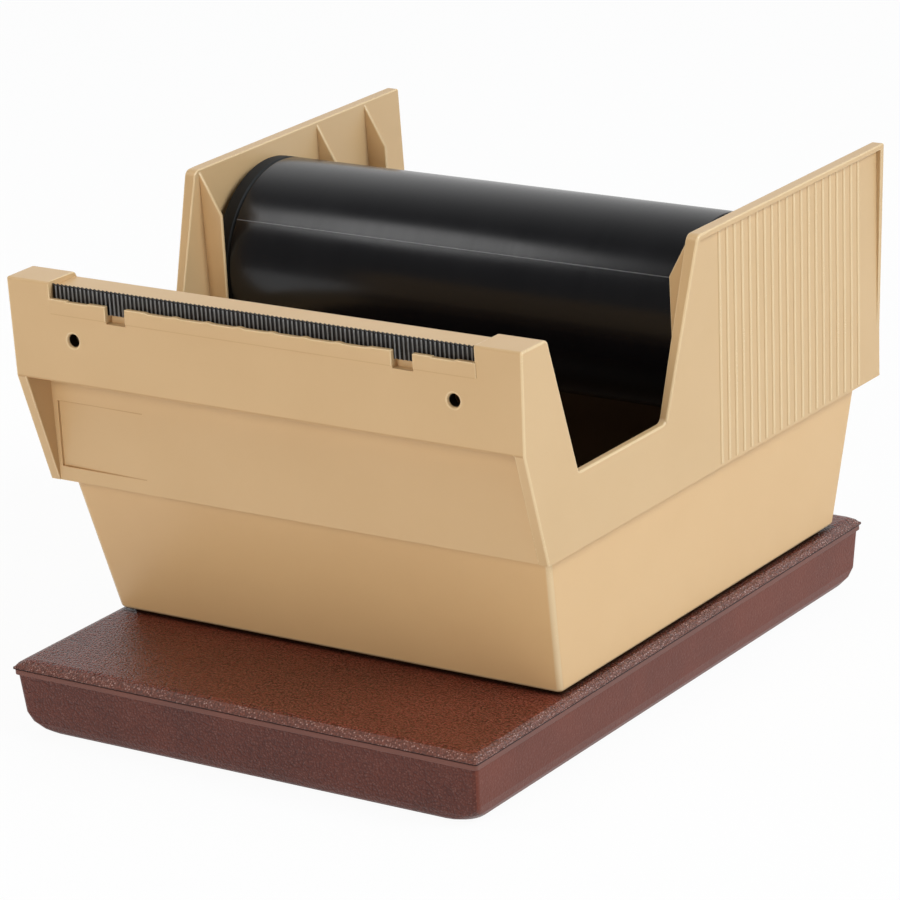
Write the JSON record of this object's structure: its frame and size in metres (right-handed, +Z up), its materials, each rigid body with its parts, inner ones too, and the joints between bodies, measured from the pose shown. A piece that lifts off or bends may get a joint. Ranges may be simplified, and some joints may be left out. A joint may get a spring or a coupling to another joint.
{
  "type": "multi-roll tape dispenser",
  "caption": "Counter-top tape dispenser: a lift-out drum on an axle carries rolls side by side behind a long serrated cutting blade, on a weighted flat base.",
  "frame": {"origin": "middle of the footprint, on the table that the feet stand on", "axes": "+X to the right as seen from the front, +Y from the blade to the back, +Z up"},
  "size_m": [0.2068, 0.2494, 0.162],
  "materials": {
    "beige_plastic": "satin moulded",
    "brown_plastic": "grained moulded",
    "drum_plastic": "satin",
    "hub_plastic": "moulded",
    "blade_steel": "blackened steel",
    "bright_steel": "zinc plated",
    "fibre": "plain",
    "iron": "raw cast",
    "foot_rubber": "plain"
  },
  "bodies": {
    "stand": {"upper_frame": "beige_plastic", "lower_tub": "beige_plastic", "blade": "blade_steel", "frame_screws": "bright_steel", "tub_screws": "bright_steel", "base_cover": "brown_plastic", "base_tray": "brown_plastic", "ballast_plate": "iron", "base_screws": "bright_steel", "foot_front_left": "foot_rubber", "foot_front_right": "foot_rubber", "foot_rear_left": "foot_rubber", "foot_rear_right": "foot_rubber"},
    "axle_set": {"axle": "bright_steel", "drag_washer_left": "fibre", "drag_washer_right": "fibre", "retaining_clip_left": "bright_steel", "retaining_clip_right": "bright_steel", "end_block_left": "hub_plastic", "end_block_right": "hub_plastic"},
    "drum": {"drum_tube": "drum_plastic", "hub_plug_left": "hub_plastic", "hub_plug_right": "hub_plastic"}
  },
  "joints": [
    {"name": "axle_lift", "type": "slide", "parent": "stand", "child": "axle_set", "axis": [0, 0, 1], "range_m": [0, 0.1]},
    {"name": "drum_spin", "type": "hinge", "parent": "axle_set", "child": "drum", "pos_m": [0, 0.0385, 0.1236], "axis": [1, 0, 0], "continuous": true}
  ]
}
